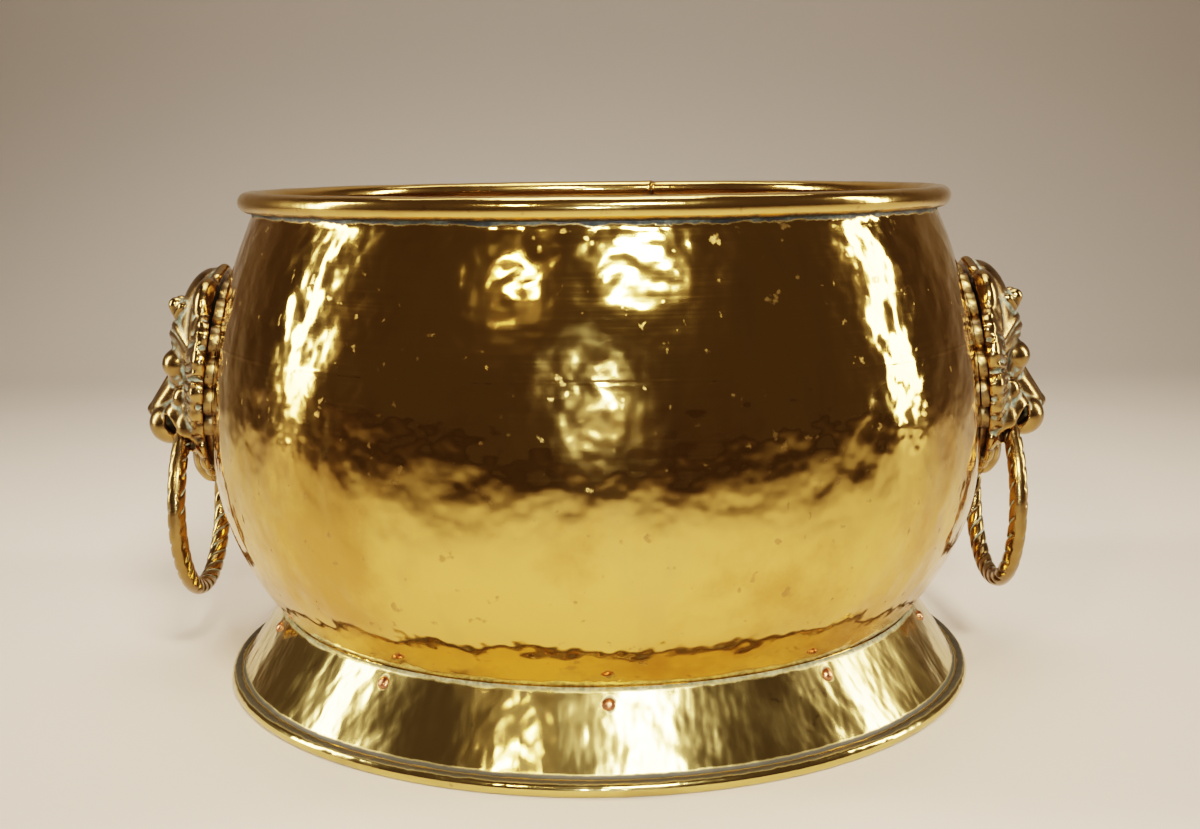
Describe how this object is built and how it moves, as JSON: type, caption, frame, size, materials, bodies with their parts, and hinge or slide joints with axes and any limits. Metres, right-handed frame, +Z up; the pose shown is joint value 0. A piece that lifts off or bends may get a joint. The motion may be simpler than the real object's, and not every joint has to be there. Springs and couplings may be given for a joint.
{
  "type": "planter pot",
  "caption": "Round bulging hammered-metal planter pot on a flared riveted foot, with a rolled rim and lion-mask handles holding swinging rings.",
  "frame": {"origin": "centre of the foot, on the surface it stands on", "axes": "+Z up along the pot; +X through the right-hand ring handle; the front faces -Y"},
  "size_m": [0.554, 0.461, 0.29],
  "materials": {
    "body_brass": "planished by hammer and polished to a warm mirror, with fine scratches and tarnish",
    "base_brass": "dull hammered brass",
    "rim_brass": "polished tube with small dents",
    "rim_iron": "drawn iron wire",
    "foot_brass": "paler polished sheet with upright hammer marks",
    "foot_iron": "drawn iron wire",
    "rivet_copper": "domed copper, browned",
    "burr_copper": "dull copper",
    "plate_brass": "cast and filed, dull at the back and bright on its edge",
    "mask_brass": "antique cast brass, bright on its high points and grey-green in its hollows",
    "ring_brass": "antique cast brass with chased rope grooves",
    "fixing_brass": "turned and filed, dull"
  },
  "bodies": {
    "pot": {"body_shell": "body_brass", "base_plate": "base_brass", "rim_bead": "rim_brass", "rim_wire": "rim_iron", "foot_skirt": "foot_brass", "foot_wire": "foot_iron", "foot_rivets": "rivet_copper", "foot_rivet_burrs": "burr_copper", "backplate_left": "plate_brass", "backplate_right": "plate_brass", "mask_left": "mask_brass", "mask_right": "mask_brass", "mask_studs_left": "fixing_brass", "mask_studs_right": "fixing_brass", "stud_washers_left": "fixing_brass", "stud_washers_right": "fixing_brass", "stud_nuts_left": "fixing_brass", "stud_nuts_right": "fixing_brass"},
    "right_ring": {"ring_right": "ring_brass"},
    "left_ring": {"ring_left": "ring_brass"}
  },
  "joints": [
    {"name": "ring_right_swing", "type": "hinge", "parent": "pot", "child": "right_ring", "pos_m": [0.247, 0, 0.1545], "axis": [0, -1, 0], "range_deg": [-5, 75]},
    {"name": "ring_left_swing", "type": "hinge", "parent": "pot", "child": "left_ring", "pos_m": [-0.247, 0, 0.1545], "axis": [0, 1, 0], "range_deg": [-5, 75]}
  ]
}
